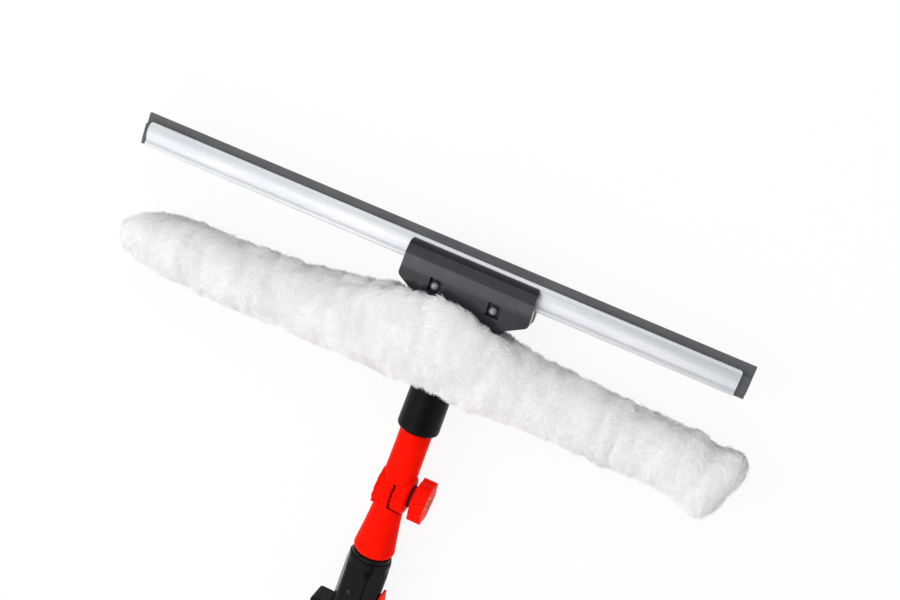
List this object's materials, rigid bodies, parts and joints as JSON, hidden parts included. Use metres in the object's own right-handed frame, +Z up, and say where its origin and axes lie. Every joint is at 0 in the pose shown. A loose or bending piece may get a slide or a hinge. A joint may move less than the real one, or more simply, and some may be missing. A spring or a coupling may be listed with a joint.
{
  "type": "window squeegee",
  "caption": "Window squeegee lying on its back: rubber blade in an aluminium channel, plush washer sleeve, red swivel joint and telescopic handle with a lever lock.",
  "frame": {"origin": "middle of the bounding box at the floor that the tool lies on", "axes": "+X along the blade, +Y from the grip to the blade, +Z up from the floor out of the clamp's front"},
  "size_m": [0.4699, 0.5614, 0.0558],
  "materials": {
    "brake_pad": "matt",
    "clamp_front_jaw": "satin",
    "clamp_rear_jaw": "satin",
    "end_cap": "matt",
    "ferrule_screw": "plated",
    "hand_grip": "foam",
    "housing_nut": "plated",
    "housing_screw": "plated",
    "inner_tube": "satin",
    "inner_tube_bush": "matt",
    "jaw_nut_left": "plated",
    "jaw_nut_right": "plated",
    "jaw_screw_left": "plated",
    "jaw_screw_right": "plated",
    "knob_nut": "turned",
    "lever_pin": "plain",
    "lock_housing": "satin",
    "lock_lever": "semi-gloss",
    "lower_swivel_arm": "semi-gloss",
    "outer_tube": "satin",
    "pole_tip": "glossy",
    "sleeve_closure_tape": "woven",
    "squeegee_channel": "satin",
    "squeegee_rubber": "matt",
    "swivel_bolt": "plated",
    "swivel_knob": "semi-gloss",
    "t_bar": "satin",
    "thrust_washer": "plated",
    "tip_screw": "plated",
    "upper_swivel_arm": "semi-gloss",
    "washer_sleeve": "plush"
  },
  "bodies": {
    "handle": {"outer_tube": "outer_tube", "lock_housing": "lock_housing", "lever_pin": "lever_pin", "housing_screw": "housing_screw", "housing_nut": "housing_nut", "hand_grip": "hand_grip", "end_cap": "end_cap"},
    "pole": {"inner_tube": "inner_tube", "inner_tube_bush": "inner_tube_bush", "pole_tip": "pole_tip", "tip_screw": "tip_screw", "lower_swivel_arm": "lower_swivel_arm", "swivel_bolt": "swivel_bolt", "thrust_washer": "thrust_washer"},
    "head": {"upper_swivel_arm": "upper_swivel_arm", "t_bar": "t_bar", "ferrule_screw": "ferrule_screw", "clamp_front_jaw": "clamp_front_jaw", "clamp_rear_jaw": "clamp_rear_jaw", "jaw_screw_left": "jaw_screw_left", "jaw_screw_right": "jaw_screw_right", "jaw_nut_left": "jaw_nut_left", "jaw_nut_right": "jaw_nut_right", "washer_sleeve": "washer_sleeve", "sleeve_closure_tape": "sleeve_closure_tape"},
    "blade": {"squeegee_channel": "squeegee_channel", "squeegee_rubber": "squeegee_rubber"},
    "knob": {"swivel_knob": "swivel_knob", "knob_nut": "knob_nut"},
    "lever": {"lock_lever": "lock_lever"},
    "pad": {"brake_pad": "brake_pad"}
  },
  "joints": [
    {"name": "pole_slide", "type": "slide", "parent": "handle", "child": "pole", "axis": [0, 0.9998, 0.0214], "range_m": [0, 0.16]},
    {"name": "head_tilt", "type": "hinge", "parent": "pole", "child": "head", "pos_m": [0.022, 0.09552, 0.025], "axis": [1, 0, 0], "range_deg": [-78, 80]},
    {"name": "blade_shift", "type": "slide", "parent": "head", "child": "blade", "axis": [1, 0, 0], "range_m": [-0.02, 0.06]},
    {"name": "knob_turn", "type": "hinge", "parent": "pole", "child": "knob", "pos_m": [0.022, 0.09552, 0.025], "axis": [1, 0, 0], "range_deg": [0, 360]},
    {"name": "lever_turn", "type": "hinge", "parent": "handle", "child": "lever", "pos_m": [0.0432, -0.01746, 0.02258], "axis": [0, 0.0214, -0.9998], "range_deg": [0, 120]},
    {"name": "pad_slide", "type": "slide", "parent": "handle", "child": "pad", "axis": [1, 0, 0], "range_m": [0, 0.0006]}
  ],
  "couplings": [
    {"joint": "pad_slide", "follows": "lever_turn", "m_per_rad": 0.00028361}
  ]
}
